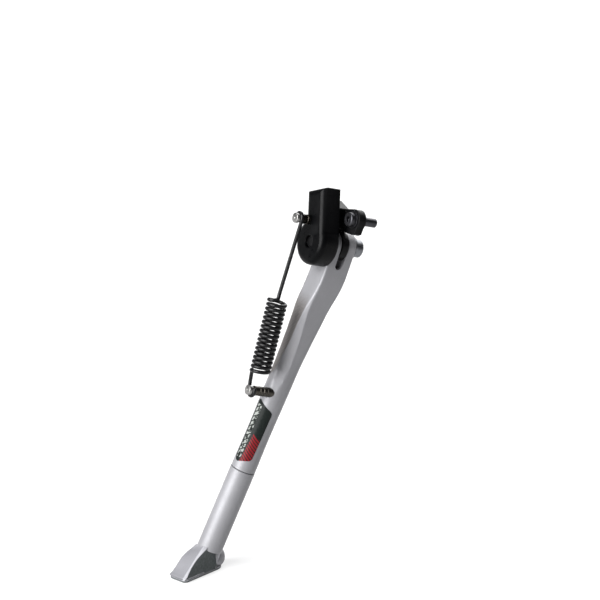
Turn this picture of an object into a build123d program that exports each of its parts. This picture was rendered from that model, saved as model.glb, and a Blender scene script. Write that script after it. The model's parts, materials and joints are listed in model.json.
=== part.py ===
from build123d import *
import os
from math import atan2, cos, degrees, radians, sin, sqrt, tan

# Side stand for an off-road motorcycle, deployed, foot flat on a level floor.
# +X runs to the rear of the vehicle, +Y to its middle, +Z up.
# The origin is on the bracket's mounting face, midway between its two bolts.

os.makedirs("parts", exist_ok=True)

# ------------------------------------------------------------------ driving dimensions (mm, degrees)
AXIS_RISE = 17.5          # pivot axis above horizontal, pointing outboard
AXIS_SWEEP = 16.3         # pivot axis forward of straight outboard
LEG_FORWARD = 6.2         # deployed leg forward of plumb, in the swing plane
LEG_SPLAY = 4.8           # leg leans outboard from the swing plane
PIVOT_HEIGHT = 297.0      # pivot above the floor

LUG_HALF = 3.5            # half thickness of the lug plate
PAD = 0.6                 # mounting pad stands proud of the plate, clear of the turning ear
SIDE_GAP = 0.3            # play beside each moving cheek
EAR_THICK = 8.5
TONGUE_THICK = 18.4
TONGUE_R = 20.6
TONGUE_AT = (-1.0, 0.0)   # middle of the tongue's round end
LUG_R = 13.0
EAR_R = 12.0

SHOULDER_R = 6.0          # pivot bolt shoulder
BUSH_WALL = 1.5
RUN_FIT = 0.05            # radial running clearance
TIGHT_FIT = 0.02          # radial gap of parts that do not turn on each other
LOOSE_FIT = 0.2           # radial gap of a clearance hole
JOIN = 1.0                # blocks of one casting reach this far into each other
PIVOT_THREAD_R = 5.0
PIVOT_HEAD_R = 8.0
PIVOT_HEAD_H = 8.5
PIVOT_HEAD_EDGE = 0.9
PIVOT_HEX_R = 4.0         # to the flats of the key's socket
PIVOT_HEX_DEEP = 4.5
PIVOT_TIP = 0.8
PIVOT_THREAD_SHORT = 1.6  # thread ends this far inside the tongue's face
PIVOT_WASHER_T = 2.0
PIVOT_WASHER_R = 10.5
PIVOT_WASHER_EDGE = 0.3

BOLT_REAR = (14.5, 30.0)  # frame bolts, in the pivot plane (rearward, up)
BOLT_FRONT = (-26.0, 14.0)
BOLT_R = 4.0
BOLT_NECK_R = 3.3         # waisted shank through the lug plate
BOLT_HOLE_R = 4.5
BOLT_HEAD_R = 6.2
BOLT_HEAD_H = 4.6
BOLT_HEAD_ROUND = 1.2
BOLT_HEX_R = 2.5
BOLT_HEX_DEEP = 2.6
BOLT_REACH = 16.0         # thread that stands out of the mounting face
BOLT_TIP = 0.8
WASHER_R = 7.6
WASHER_T = 1.2

SEAM_AT = 220.0           # arm and lower leg meet, along the leg
SEAM_GAP = 0.4
LEG_R = 11.4              # lower leg radius
SPIGOT_R = 7.5
SPIGOT_LEN = 31.0
SHOE_AT = 300.0           # lower leg runs into the shoe

SPRING_LEVEL = 40.4       # spring plane, outboard of the clevis centre
POST_UP = (-11.5, 15.8)   # spring posts, in the pivot plane
POST_LOW = (4.5, -142.7)
POST_R = 4.35
POST_HEAD_R = 4.5
GROOVE_R = 3.1
GROOVE_HALF = 1.7         # half width of the post's groove
POST_HEAD_END = 4.7       # head's face beyond the spring plane
POST_HEAD_EDGE = 0.5
STUD_R = 3.5              # upper post's stud in the tongue
STUD_LEN = 9.5
STUD_HOLE = 10.0
WIRE_R = 1.4
COIL_R = 7.7              # to the middle of the wire
COIL_TURNS = 16
COIL_PITCH = 4.0
COIL_TOP = (-2.0, -59.7)
COIL_LOW = (7.2, -123.7)

SOLE_TOE = 30.0           # sole's ends, outboard and inboard of the leg's axis at the floor
SOLE_HEEL = 22.0
SOLE_WIDE = 21.0
SOLE_THICK = 2.6
SOLE_SHIFT = (0.2, 0.5)   # the sole's zero from the leg's axis, rearward and inboard
SOLE_CORNER = 4.5
SOLE_EDGE = 0.6
SHOE_TRIM = 1.2           # shoe narrower than its sole plate
SHOE_CORNER = 4.0
WAIST_AT = 0.042          # shoe's middle section, as a share of the leg's length above the floor
WAIST = (20.5, 36.0)
WAIST_CORNER = 8.0
HEEL_R = 10.8             # round lump behind the leg
HEEL_OUT = 16.0           # its middle, inboard of the leg's axis and above the floor
HEEL_UP = 9.0
HEEL_JOIN = 14.0          # shoe's block runs this far back to meet it
DECAL_T = 0.3

# ------------------------------------------------------------------ directions and planes
rise, sweep_a = radians(AXIS_RISE), radians(AXIS_SWEEP)
axis_dir = Vector(-sin(sweep_a) * cos(rise), -cos(sweep_a) * cos(rise), sin(rise))
plumb = (Vector(0, 0, -1) + axis_dir * sin(rise)).normalized()
clevis_down = plumb.rotate(Axis((0, 0, 0), axis_dir), -LEG_FORWARD)
rear_dir = axis_dir.cross(clevis_down)
splay = radians(LEG_SPLAY)
leg_dir = clevis_down * cos(splay) + axis_dir * sin(splay)

ear_in, ear_out = LUG_HALF + SIDE_GAP, LUG_HALF + SIDE_GAP + EAR_THICK
tongue_in = ear_out + SIDE_GAP
tongue_out = tongue_in + TONGUE_THICK
mid_rear = (BOLT_REAR[0] + BOLT_FRONT[0]) / 2
mid_up = (BOLT_REAR[1] + BOLT_FRONT[1]) / 2
pad_face = -LUG_HALF - PAD
pivot = rear_dir * -mid_rear + clevis_down * mid_up - axis_dir * pad_face
sole_z = pivot.Z - PIVOT_HEIGHT


def level(a):
    """Plane square to the pivot axis: x to the rear, y up the leg, a outboard of the clevis centre."""
    return Plane(origin=pivot + axis_dir * a, x_dir=rear_dir, z_dir=axis_dir)


def leg_plane(length):
    """Plane square to the leg: x to the rear, y outboard, at this length below the pivot."""
    return Plane(origin=pivot + leg_dir * length, x_dir=rear_dir, z_dir=leg_dir)


def at_level(point, a):
    """World point for (rearward, up) in the pivot plane at level a."""
    return pivot + rear_dir * point[0] - clevis_down * point[1] + axis_dir * a


def save(part, name):
    part.label = name
    export_step(part, f"parts/{name}.step")


def disc(place, a0, a1, radius):
    """Round bar between two levels, centred on place; joins the part being built."""
    with BuildSketch(level(a0)) as round_face:
        with Locations(place):
            Circle(radius)
    extrude(round_face.sketch, amount=a1 - a0)


def drill(place, a0, a1, radius):
    """Round hole between two levels, centred on place."""
    with BuildSketch(level(a0)) as round_face:
        with Locations(place):
            Circle(radius)
    extrude(round_face.sketch, amount=a1 - a0, mode=Mode.SUBTRACT)


# ------------------------------------------------------------------ bracket
NECK_TURN = 28.95         # tongue's neck leans forward of the clevis direction
NECK_LEN = 46.0
NECK_BACK = 19.0          # neck's edges, rear and front of the pivot
NECK_FRONT = -6.5
neck_cos, neck_sin = cos(radians(NECK_TURN)), sin(radians(NECK_TURN))


def neck_point(across, along):
    """(rearward, up) of a point across and along the tongue's neck."""
    return (across * neck_cos - along * neck_sin, across * neck_sin + along * neck_cos)


bolt_span = sqrt((BOLT_REAR[0] - BOLT_FRONT[0]) ** 2 + (BOLT_REAR[1] - BOLT_FRONT[1]) ** 2)
bolt_turn = degrees(atan2(BOLT_REAR[1] - BOLT_FRONT[1], BOLT_REAR[0] - BOLT_FRONT[0]))
BAR_WIDE = 19.0
PAD_WIDE = 18.0
NECK_CORNER = 8.0
FRONT_ROUND = 5.5
BORE_RELIEF_DEEP = 2.2
BORE_RELIEF = 0.6
# outlines in the pivot plane, (rearward, up)
LUG_WEB = ((-LUG_R, -1), (-34, 9), BOLT_FRONT, BOLT_REAR, (23.6, 30), (23.2, 20.2), (19.5, 17.9),
           (-2.4, 13.6), (0, 0))
BRIDGE = ((-13.2, 15.2), (-1.5, 15.2), (6.5, 17.2), (5.4, 24), (-1, 34), (-16, 36), (-17.5, 24))
STOP_BLOCK = ((-12.3, 6), (-12.3, -10), (-17.5, -10), (-18, 4), (-17.6, 24), (-13.2, 15.4))

with BuildPart() as bracket:
    with BuildSketch(level(-LUG_HALF)):
        Circle(LUG_R)
        with Locations((mid_rear, mid_up)):
            SlotCenterToCenter(bolt_span, BAR_WIDE, rotation=bolt_turn)
        with BuildLine():
            Polyline(*LUG_WEB, close=True)
        make_face()
    extrude(amount=2 * LUG_HALF)
    with BuildSketch(level(pad_face)):
        with Locations((mid_rear, mid_up)):
            SlotCenterToCenter(bolt_span, PAD_WIDE, rotation=bolt_turn)
    extrude(amount=PAD)
    with BuildSketch(level(tongue_in)) as tongue:
        with Locations(TONGUE_AT):
            Circle(TONGUE_R)
        with Locations(neck_point((NECK_BACK + NECK_FRONT) / 2, NECK_LEN / 2)):
            Rectangle(NECK_BACK - NECK_FRONT, NECK_LEN, rotation=NECK_TURN)
        fillet(tongue.vertices().sort_by_distance(pivot)[:2], NECK_CORNER)
    extrude(amount=TONGUE_THICK)
    front_face = bracket.faces().sort_by(Axis(pivot, axis_dir))[-1]
    fillet(front_face.edges(), FRONT_ROUND)
    # bridge from the lug plate to the tongue, clear of the turning ear
    with BuildSketch(level(0)):
        with BuildLine():
            Polyline(*BRIDGE, close=True)
        make_face()
    extrude(amount=tongue_in + JOIN)
    # stop block in front of the deployed leg
    with BuildSketch(level(ear_in)):
        with BuildLine():
            Polyline(*STOP_BLOCK, close=True)
        make_face()
    extrude(amount=tongue_in + JOIN - ear_in)
    # pivot bore: reamed in the lug for its bush, tapped in the tongue, opened out at the front
    drill((0, 0), -LUG_HALF, LUG_HALF, SHOULDER_R + BUSH_WALL)
    drill((0, 0), LUG_HALF, tongue_in + JOIN, SHOULDER_R + LOOSE_FIT)
    drill((0, 0), tongue_in, tongue_out, PIVOT_THREAD_R)
    drill((0, 0), tongue_out - BORE_RELIEF_DEEP, tongue_out, PIVOT_THREAD_R + BORE_RELIEF)
    for place in (BOLT_REAR, BOLT_FRONT):
        drill(place, pad_face, LUG_HALF, BOLT_HOLE_R)
    drill(POST_UP, tongue_out - STUD_HOLE, tongue_out, STUD_R)
save(bracket.part, "bracket")

# ------------------------------------------------------------------ frame bolts and washers
for name, place in (("rear", BOLT_REAR), ("front", BOLT_FRONT)):
    seat = LUG_HALF + WASHER_T
    with BuildPart() as washer:
        disc(place, LUG_HALF, seat, WASHER_R)
        drill(place, LUG_HALF, seat, BOLT_HOLE_R)
    save(washer.part, f"frame_washer_{name}")
    with BuildPart() as bolt:
        disc(place, seat, seat + BOLT_HEAD_H, BOLT_HEAD_R)
        rim = bolt.faces().sort_by(Axis(pivot, axis_dir))[-1]
        fillet(rim.edges(), BOLT_HEAD_ROUND)
        with BuildSketch(level(seat + BOLT_HEAD_H - BOLT_HEX_DEEP)):
            with Locations(place):
                RegularPolygon(BOLT_HEX_R, 6, major_radius=False)
        extrude(amount=BOLT_HEX_DEEP, mode=Mode.SUBTRACT)
        disc(place, pad_face, seat, BOLT_NECK_R)
        disc(place, pad_face - BOLT_REACH, pad_face, BOLT_R)
        tip = bolt.faces().sort_by(Axis(pivot, axis_dir))[0]
        chamfer(tip.edges(), BOLT_TIP)
    save(bolt.part, f"frame_bolt_{name}")

# ------------------------------------------------------------------ pivot bolt, washer and bushes
washer_out = -(ear_out + SIDE_GAP)
washer_in = washer_out - PIVOT_WASHER_T
shoulder_end = tongue_in - SIDE_GAP
with BuildPart() as pivot_bolt:
    disc((0, 0), washer_in - PIVOT_HEAD_H, washer_in, PIVOT_HEAD_R)
    chamfer(pivot_bolt.faces().sort_by(Axis(pivot, axis_dir))[0].edges(), PIVOT_HEAD_EDGE)
    with BuildSketch(level(washer_in - PIVOT_HEAD_H)):
        RegularPolygon(PIVOT_HEX_R, 6, major_radius=False)
    extrude(amount=PIVOT_HEX_DEEP, mode=Mode.SUBTRACT)
    disc((0, 0), washer_in, shoulder_end, SHOULDER_R)
    disc((0, 0), shoulder_end, tongue_out - PIVOT_THREAD_SHORT, PIVOT_THREAD_R - TIGHT_FIT)
    chamfer(pivot_bolt.faces().sort_by(Axis(pivot, axis_dir))[-1].edges(), PIVOT_TIP)
save(pivot_bolt.part, "pivot_bolt")

with BuildPart() as pivot_washer:
    disc((0, 0), washer_in, washer_out, PIVOT_WASHER_R)
    chamfer(pivot_washer.edges(), PIVOT_WASHER_EDGE)
    drill((0, 0), washer_in, washer_out, SHOULDER_R + LOOSE_FIT / 2)
save(pivot_washer.part, "pivot_washer")

bushes = (("lug_bush", -LUG_HALF, LUG_HALF, TIGHT_FIT),
          ("ear_bush_outboard", ear_in, ear_out, RUN_FIT),
          ("ear_bush_inboard", -ear_out, -ear_in, RUN_FIT))
for name, a0, a1, gap in bushes:
    with BuildPart() as bush:
        disc((0, 0), a0, a1, SHOULDER_R + BUSH_WALL)
        drill((0, 0), a0, a1, SHOULDER_R + gap)
    save(bush.part, name)

# ------------------------------------------------------------------ leg arm
CLEVIS_LEN = 26.0
CLEVIS_CORNER = 1.6
CLEVIS_ROUND = 1.5
SLOT_END = 14.5           # straight part of the slot, below the pivot
SLOT_TOP = 15.0
# distance along the leg, depth front to rear, width in to out, corner radius
ARM_SECTIONS = ((60, 21.5, 24.0, 2.6), (96, 20.6, 23.2, 4.2), (118, 21.0, 22.4, 8.0),
                (142, 21.6, 22.2, 9.4), (184, 21.4, 21.4, 9.9), (SEAM_AT, 22.4, 22.4, 11.1))
# milled facet: distance along the leg, its rearward edge, that edge's height, tilt in degrees
FACET = ((56, 8.2, 12.1, 0.0), (76, 5.6, 11.7, 7.5), (96, 4.2, 11.4, 9.5), (124, 0.2, 10.9, 10.0),
         (131, -4.0, 10.8, 10.0))
PIN_R = 2.5
PIN_LEN = 17.0
PIN_AT = 204.0
PIN_INBOARD = 11.6        # inboard mouth of the pin's hole
POST_ROOT = 15.0          # bottom of the lower post's hole
WASTE = 20.0              # reach of a cutter beyond the arm's skin
leg_side = leg_dir.cross(rear_dir)
pin_plane = Plane(origin=pivot + leg_dir * PIN_AT - leg_side * PIN_INBOARD, x_dir=rear_dir, z_dir=leg_side)


def arm_body(grow, mode=Mode.ADD):
    """Loft of the arm, swollen by grow all round."""
    start = Plane(origin=pivot + clevis_down * CLEVIS_LEN, x_dir=rear_dir, z_dir=clevis_down)
    with BuildSketch(start) as top:
        RectangleRounded(2 * EAR_R + 2 * grow, 2 * ear_out + 2 * grow, CLEVIS_CORNER)
    sections = [top.sketch]
    for length, deep, wide, corner in ARM_SECTIONS:
        with BuildSketch(leg_plane(length)) as section:
            RectangleRounded(deep + 2 * grow, wide + 2 * grow, corner)
        sections.append(section.sketch)
    loft(sections, ruled=True, mode=mode)


def facet_section(length, edge, height, tilt):
    """Section of the waste beyond the milled facet."""
    fall = tan(radians(tilt)) * (edge + WASTE)
    with BuildSketch(leg_plane(length)) as section:
        with BuildLine():
            Polyline((edge, height), (-WASTE, height - fall), (-WASTE, WASTE), (edge, WASTE), close=True)
        make_face()
    return section.sketch


with BuildPart() as leg_arm:
    with BuildSketch(level(-ear_out)):
        Circle(EAR_R)
        with Locations((0, -CLEVIS_LEN / 2)):
            Rectangle(2 * EAR_R, CLEVIS_LEN)
    extrude(amount=2 * ear_out)
    outer_edges = [edge for edge in leg_arm.edges()
                   if abs((edge.center() - pivot).dot(axis_dir)) > ear_out - 0.1
                   and (edge.center() - pivot).dot(clevis_down) < CLEVIS_LEN - 0.5]
    fillet(outer_edges, CLEVIS_ROUND)
    arm_body(0)
    # slot for the lug plate, open at the top, with a round end
    with BuildSketch(Plane(origin=pivot - rear_dir * WASTE, x_dir=axis_dir, z_dir=rear_dir)):
        with Locations((0, (SLOT_END - SLOT_TOP) / 2)):
            Rectangle(2 * ear_in, SLOT_END + SLOT_TOP)
        with Locations((0, SLOT_END)):
            Circle(ear_in)
    extrude(amount=2 * WASTE, mode=Mode.SUBTRACT)
    drill((0, 0), -ear_out, ear_out, SHOULDER_R + BUSH_WALL)
    # milled facet that cuts the front of the outboard side back, running out to a narrow tip
    loft([facet_section(*row) for row in FACET], ruled=True, mode=Mode.SUBTRACT)
    # socket for the lower leg's spigot, the cross pin, and the spring post
    with BuildSketch(leg_plane(SEAM_AT - SPIGOT_LEN - 1)):
        Circle(SPIGOT_R)
    extrude(amount=SPIGOT_LEN + 1, mode=Mode.SUBTRACT)
    with BuildSketch(pin_plane):
        Circle(PIN_R)
    extrude(amount=PIN_LEN, mode=Mode.SUBTRACT)
    drill(POST_LOW, POST_ROOT, SPRING_LEVEL, POST_R)
save(leg_arm.part, "leg_arm")

# ------------------------------------------------------------------ lower leg, shoe and cross pin
LEG_EDGE = 0.5
PIN_SUNK = 0.4
PIN_WALL = 1.0
with BuildPart() as lower_leg:
    with BuildSketch(leg_plane(SEAM_AT + SEAM_GAP)):
        Circle(LEG_R)
    extrude(amount=SHOE_AT - SEAM_AT - SEAM_GAP)
    chamfer(lower_leg.edges().sort_by(Axis(pivot, leg_dir))[0], LEG_EDGE)
    with BuildSketch(leg_plane(SEAM_AT - SPIGOT_LEN)):
        Circle(SPIGOT_R - TIGHT_FIT)
    extrude(amount=SPIGOT_LEN + SEAM_GAP)
    with BuildSketch(pin_plane):
        Circle(PIN_R)
    extrude(amount=PIN_LEN, mode=Mode.SUBTRACT)
save(lower_leg.part, "lower_leg")

with BuildPart() as joint_pin:
    with BuildSketch(pin_plane.offset(PIN_SUNK)):
        Circle(PIN_R)
        Circle(PIN_R - PIN_WALL, mode=Mode.SUBTRACT)
    extrude(amount=PIN_LEN - PIN_SUNK)
save(joint_pin.part, "joint_pin")

foot = pivot + leg_dir * ((pivot.Z - sole_z) / -leg_dir.Z)
sole_zero = Vector(foot.X + SOLE_SHIFT[0], foot.Y + SOLE_SHIFT[1], sole_z)
heel_y = SOLE_HEEL - SOLE_WIDE / 2
with BuildPart() as shoe:
    with BuildSketch(Plane(origin=sole_zero + Vector(0, (HEEL_JOIN - SOLE_TOE) / 2, SOLE_THICK))):
        RectangleRounded(SOLE_WIDE - SHOE_TRIM, SOLE_TOE + HEEL_JOIN - SHOE_TRIM, SHOE_CORNER)
    with BuildSketch(Plane(origin=foot + (pivot - foot) * WAIST_AT, x_dir=(1, 0, 0), z_dir=-leg_dir)):
        RectangleRounded(*WAIST, WAIST_CORNER)
    with BuildSketch(Plane(origin=pivot + leg_dir * SHOE_AT, x_dir=(1, 0, 0), z_dir=-leg_dir)):
        RectangleRounded(2 * LEG_R, 2 * LEG_R, LEG_R - TIGHT_FIT)
    loft(ruled=True)
    # round heel behind the leg, cut off flat at the sole plate
    with Locations(sole_zero + Vector(0, HEEL_OUT, HEEL_UP)):
        Sphere(HEEL_R)
    with Locations(sole_zero + Vector(0, 0, SOLE_THICK - HEEL_R)):
        Box(4 * HEEL_R, 8 * HEEL_R, 2 * HEEL_R, mode=Mode.SUBTRACT)
    with BuildSketch(leg_plane(SHOE_AT)):
        Circle(LEG_R)
    extrude(amount=-2 * HEEL_R, mode=Mode.SUBTRACT)
save(shoe.part, "shoe")

with BuildPart() as sole_plate:
    with BuildSketch(Plane(origin=sole_zero)) as outline:
        with Locations((0, (heel_y - SOLE_TOE) / 2)):
            Rectangle(SOLE_WIDE, heel_y + SOLE_TOE)
        fillet(outline.vertices().sort_by(Axis.Y)[:2], SOLE_CORNER)
        with Locations((0, heel_y)):
            Circle(SOLE_WIDE / 2)
    extrude(amount=SOLE_THICK)
    chamfer(sole_plate.edges().group_by(Axis.Z)[0], SOLE_EDGE)
save(sole_plate.part, "sole_plate")

# ------------------------------------------------------------------ decal on the arm
DECAL_FACING = 63.0       # middle of the decal, from the leg's rear round to its outboard side
DECAL_BACK = 4.0          # its cutter starts this far out from the leg's axis
DECAL_CORNER = 1.2
DECAL = ((-7.4, -153.2), (-3.6, -153.2), (8.6, -162), (8.2, -209), (-4, -213.5), (-7.6, -209))
facing = radians(DECAL_FACING)
decal_dir = rear_dir * cos(facing) + leg_side * sin(facing)
decal_plane = Plane(origin=pivot + decal_dir * DECAL_BACK, x_dir=decal_dir.cross(leg_dir), z_dir=decal_dir)
with BuildPart() as decal:
    arm_body(DECAL_T)
    with BuildSketch(decal_plane) as outline:
        with BuildLine():
            Polyline(*DECAL, close=True)
        make_face()
        fillet(outline.vertices(), DECAL_CORNER)
    extrude(amount=2 * WASTE, mode=Mode.INTERSECT)
    arm_body(0, Mode.SUBTRACT)
save(decal.part, "decal")

# ------------------------------------------------------------------ spring posts
for name, place, root in (("upper", POST_UP, tongue_out), ("lower", POST_LOW, POST_ROOT)):
    with BuildPart() as post:
        if name == "upper":
            disc(place, tongue_out - STUD_LEN, tongue_out, STUD_R - TIGHT_FIT)
        disc(place, root, SPRING_LEVEL - GROOVE_HALF, POST_R)
        disc(place, SPRING_LEVEL - GROOVE_HALF, SPRING_LEVEL + GROOVE_HALF, GROOVE_R)
        disc(place, SPRING_LEVEL + GROOVE_HALF, SPRING_LEVEL + POST_HEAD_END, POST_HEAD_R)
        chamfer(post.faces().sort_by(Axis(pivot, axis_dir))[-1].edges(), POST_HEAD_EDGE)
    save(post.part, f"{name}_spring_post")

# ------------------------------------------------------------------ spring, one wire made as three pieces
HOOK_PLAY = 0.12
HOOK_WRAP = 215.0         # how far each hook goes round its post
UPPER_END = (-0.6, 4.2)   # upper wire's end from the coil's top, rearward and up
LOWER_DROP = 3.4          # lower wire starts this far below the coil's end
HOOK_R = GROOVE_R + HOOK_PLAY + WIRE_R
spring_plane = level(SPRING_LEVEL)
coil_turn = degrees(atan2(COIL_LOW[0] - COIL_TOP[0], COIL_TOP[1] - COIL_LOW[1]))
coil_down = (at_level(COIL_LOW, 0) - at_level(COIL_TOP, 0)).normalized()
coil_plane = Plane(origin=at_level(COIL_TOP, SPRING_LEVEL), x_dir=coil_down.cross(axis_dir), z_dir=coil_down)
coil_len = COIL_TURNS * COIL_PITCH

with BuildPart() as spring_coil:
    with BuildLine() as turns:
        Helix(pitch=COIL_PITCH, height=coil_len, radius=COIL_R)
    with BuildSketch(Plane(origin=turns.line @ 0, z_dir=turns.line % 0)):
        Circle(WIRE_R)
    sweep(path=turns.line, is_frenet=True)
save(spring_coil.part.moved(coil_plane.location), "spring_coil")

shank_turn = degrees(atan2(COIL_TOP[0] - POST_UP[0] - HOOK_R, POST_UP[1] - COIL_TOP[1]))
with BuildPart() as spring_upper_hook:
    with BuildLine(spring_plane) as upper_wire:
        around = CenterArc(POST_UP, HOOK_R, shank_turn, HOOK_WRAP)
        Line(around @ 0, (COIL_TOP[0] + UPPER_END[0], COIL_TOP[1] + UPPER_END[1]))
    with BuildSketch(Plane(origin=upper_wire.line @ 0, z_dir=upper_wire.line % 0)):
        Circle(WIRE_R)
    sweep(path=upper_wire.line)
save(spring_upper_hook.part, "spring_upper_hook")

end_local = spring_plane.to_local_coords(coil_plane.from_local_coords(turns.line @ 1))
with BuildPart() as spring_lower_hook:
    with BuildLine(spring_plane) as lower_wire:
        under = CenterArc(POST_LOW, HOOK_R, 180, HOOK_WRAP)
        Line((end_local.X, end_local.Y - LOWER_DROP), under @ 0)
    with BuildSketch(Plane(origin=lower_wire.line @ 0, z_dir=lower_wire.line % 0)):
        Circle(WIRE_R)
    sweep(path=lower_wire.line)
save(spring_lower_hook.part, "spring_lower_hook")
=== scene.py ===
import json
import math

import bmesh
import bpy
from mathutils import Matrix, Vector


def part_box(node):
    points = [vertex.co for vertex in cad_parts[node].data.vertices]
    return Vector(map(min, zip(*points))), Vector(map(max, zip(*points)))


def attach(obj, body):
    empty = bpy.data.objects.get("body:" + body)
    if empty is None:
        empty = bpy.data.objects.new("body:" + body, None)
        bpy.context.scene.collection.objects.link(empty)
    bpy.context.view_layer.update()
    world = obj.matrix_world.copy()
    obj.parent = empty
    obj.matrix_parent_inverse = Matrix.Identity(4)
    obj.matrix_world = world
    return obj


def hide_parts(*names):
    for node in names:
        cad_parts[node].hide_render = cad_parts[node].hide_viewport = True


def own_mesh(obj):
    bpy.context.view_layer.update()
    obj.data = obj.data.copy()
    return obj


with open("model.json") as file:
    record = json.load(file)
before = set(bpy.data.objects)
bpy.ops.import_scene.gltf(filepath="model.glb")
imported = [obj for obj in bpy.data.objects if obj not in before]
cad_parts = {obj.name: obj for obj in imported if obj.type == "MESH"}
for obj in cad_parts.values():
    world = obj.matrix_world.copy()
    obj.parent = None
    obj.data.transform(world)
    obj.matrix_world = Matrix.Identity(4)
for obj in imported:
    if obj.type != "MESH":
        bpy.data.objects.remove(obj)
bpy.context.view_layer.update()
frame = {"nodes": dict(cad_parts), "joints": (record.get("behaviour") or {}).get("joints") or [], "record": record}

MM = 0.001
bpy.context.scene.view_settings.view_transform = "Standard"

# ------------------------------------------------------------------ the stand's own directions
# +X is to the rear of the vehicle, +Y to its middle, +Z up.
# Named lengths are in millimetres unless said otherwise.
LEG_FORWARD = math.radians(6.2)     # deployed leg forward of plumb, in the swing plane
LEG_SPLAY = math.radians(4.8)       # leg leans outboard of the swing plane
joint = next(j for j in frame["joints"] if j["name"] == "leg_pivot")
PIVOT = Vector(joint["pos_m"])
OUT = Vector(joint["axis"]).normalized()
plumb = (Vector((0, 0, -1)) + OUT * OUT.z).normalized()
DOWN = Matrix.Rotation(-LEG_FORWARD, 3, OUT) @ plumb
REAR = OUT.cross(DOWN)
LEG = DOWN * math.cos(LEG_SPLAY) + OUT * math.sin(LEG_SPLAY)
SIDE = LEG.cross(REAR)              # outboard, square to the leg
sole_low, sole_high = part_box("sole_plate")
FLOOR_Z = sole_low.z
TOE_INSET = 0.6                     # the shoe's toe, inboard of the sole plate's edge
SOLE_ZERO = Vector(((sole_low.x + sole_high.x) / 2, sole_low.y + TOE_INSET * MM, FLOOR_Z))
SCOOP_REAR, SCOOP_UP, SCOOP_R, SCOOP_END = 36.5, 13.0, 28.0, 40.5   # hollow in the shoe's rear flank
SPRING_OUT = 40.4                   # the spring's plane, outboard of the clevis centre
DECAL_FACING = math.radians(63)     # from the leg's rear round towards its outboard side
DECAL_DIR = REAR * math.cos(DECAL_FACING) + SIDE * math.sin(DECAL_FACING)
DECAL_ACROSS = REAR * math.sin(DECAL_FACING) - SIDE * math.cos(DECAL_FACING)


def at_pivot(rear, up, out):
    """Point in metres from millimetres in the pivot's frame."""
    return PIVOT + (REAR * rear - DOWN * up + OUT * out) * MM


def at_sole(rear, inboard, up):
    """Point in metres from millimetres from the middle of the sole's toe, on the floor."""
    return SOLE_ZERO + Vector((rear, inboard, up)) * MM


# ------------------------------------------------------------------ camera, floor and light
CAMERA_AZIMUTH, CAMERA_ELEVATION = math.radians(43), math.radians(20)
CAMERA_DISTANCE, CAMERA_CLIP = 3.4, 50  # metres
SENSOR = 36                         # width
PICTURE = 600                       # pixels across
PIXELS_PER_MM = 1.14                # at the pivot
PIVOT_RIGHT, PIVOT_ABOVE = 37.6, 54.4   # pivot from the picture's middle, in pixels
FLOOR_HALF, FLOOR_DROP = 12, 0.0002     # metres: half its width, and its depth under the sole
SKY_TINT, SKY_STRENGTH = (0.93, 0.94, 0.96), 0.11
SUNS = (  # name, direction towards it, strength, spread in degrees
    ("key", Vector((-0.17, -0.87, 0.46)), 10.0, 55),
    ("overhead", Vector((-0.2, 0.1, 1.0)), 0.5, 100),
    ("back", Vector((-0.25, 0.85, 0.45)), 3.2, 60))


def make_camera():
    a, e = CAMERA_AZIMUTH, CAMERA_ELEVATION
    back = Vector((math.sin(a) * math.cos(e), -math.cos(a) * math.cos(e), math.sin(e)))
    right = Vector((math.cos(a), math.sin(a), 0))
    up = back.cross(right)
    aim = PIVOT - (right * PIVOT_RIGHT + up * PIVOT_ABOVE) / PIXELS_PER_MM * MM
    data = bpy.data.cameras.new("camera")
    data.sensor_width = SENSOR
    data.lens = PIXELS_PER_MM * CAMERA_DISTANCE / MM / PICTURE * data.sensor_width
    data.clip_end = CAMERA_CLIP
    cam = bpy.data.objects.new("camera", data)
    bpy.context.scene.collection.objects.link(cam)
    cam.matrix_world = Matrix((right, up, back)).transposed().to_4x4()
    cam.location = aim + back * CAMERA_DISTANCE
    bpy.context.scene.camera = cam


def sun_light(name, towards, strength, spread):
    """A far, wide soft source in this direction, so that the floor is lit evenly."""
    data = bpy.data.lights.new(name, "SUN")
    data.energy = strength
    data.angle = math.radians(spread)
    lamp = bpy.data.objects.new(name, data)
    bpy.context.scene.collection.objects.link(lamp)
    lamp.location = PIVOT + towards
    lamp.rotation_euler = towards.to_track_quat("Z", "Y").to_euler()


def make_floor():
    mesh = bpy.data.meshes.new("floor")
    corners = ((-1, -1), (1, -1), (1, 1), (-1, 1))
    mesh.from_pydata([(x * FLOOR_HALF, y * FLOOR_HALF, FLOOR_Z - FLOOR_DROP) for x, y in corners],
                     [], [(0, 1, 2, 3)])
    floor = bpy.data.objects.new("floor", mesh)
    bpy.context.scene.collection.objects.link(floor)
    mesh.materials.append(plain_floor())


def make_world():
    world = bpy.data.worlds.new("studio")
    world.use_nodes = True
    background = world.node_tree.nodes["Background"]
    background.inputs["Color"].default_value = (*SKY_TINT, 1)
    background.inputs["Strength"].default_value = SKY_STRENGTH
    bpy.context.scene.world = world


# ------------------------------------------------------------------ materials
NOISE_ROUGHNESS = 0.55              # how strongly the finer octaves of a noise count


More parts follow.
